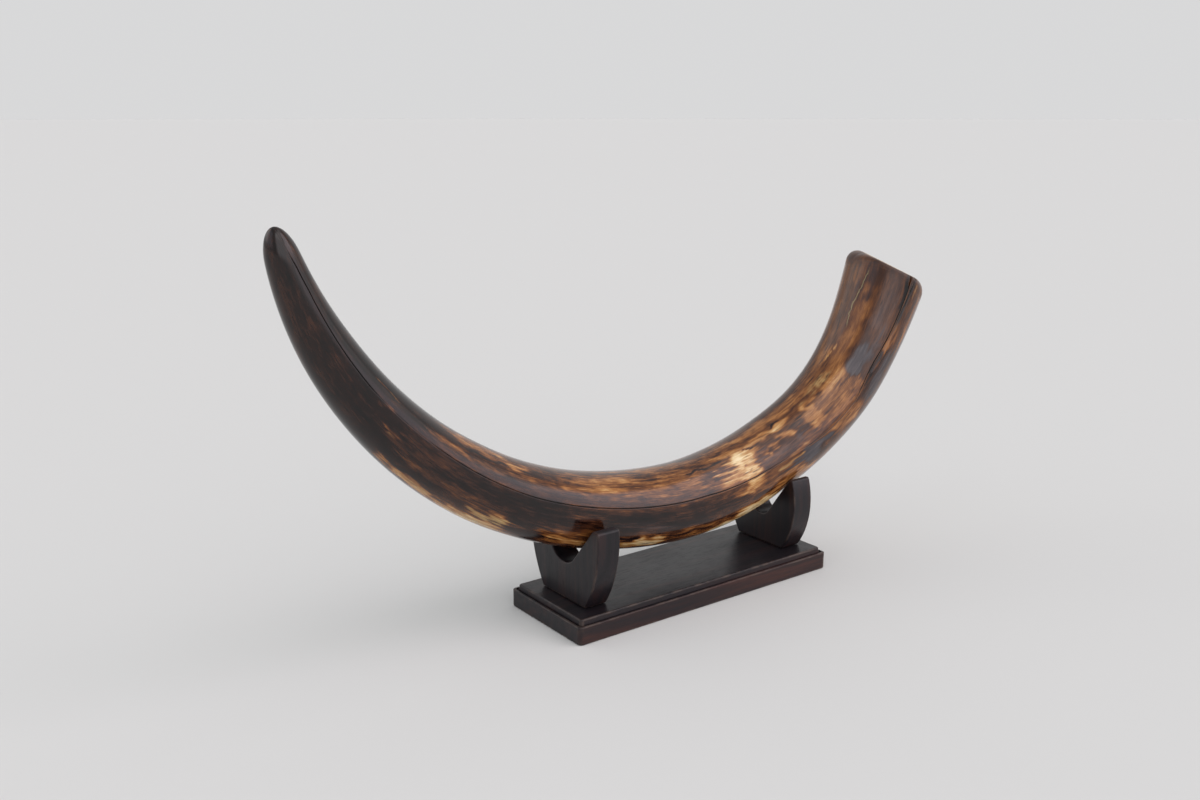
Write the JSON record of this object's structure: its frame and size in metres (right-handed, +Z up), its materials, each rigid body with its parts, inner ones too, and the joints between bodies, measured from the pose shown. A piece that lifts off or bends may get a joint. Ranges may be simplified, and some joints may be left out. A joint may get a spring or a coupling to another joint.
{
  "type": "mammoth tusk on stand",
  "caption": "Polished curved mammoth tusk with a sawn root, lying in the notches of a small dark hardwood stand with a stepped base.",
  "frame": {"origin": "middle of the base's underside, where the stand rests on its surface", "axes": "+X runs along the base and the tusk's length, towards the sawn root; +Z is up; -Y is the front; the tusk's bend lies in the XZ plane"},
  "size_m": [0.4689, 0.072, 0.242],
  "materials": {
    "mammoth_ivory": "polished mineral-stained mammoth ivory, mottled dark brown, orange and cream",
    "dark_hardwood": "satin, near-black stained hardwood"
  },
  "bodies": {
    "root": {"tusk": "mammoth_ivory", "base": "dark_hardwood", "cradle_tip_end": "dark_hardwood", "cradle_root_end": "dark_hardwood"}
  },
  "joints": []
}
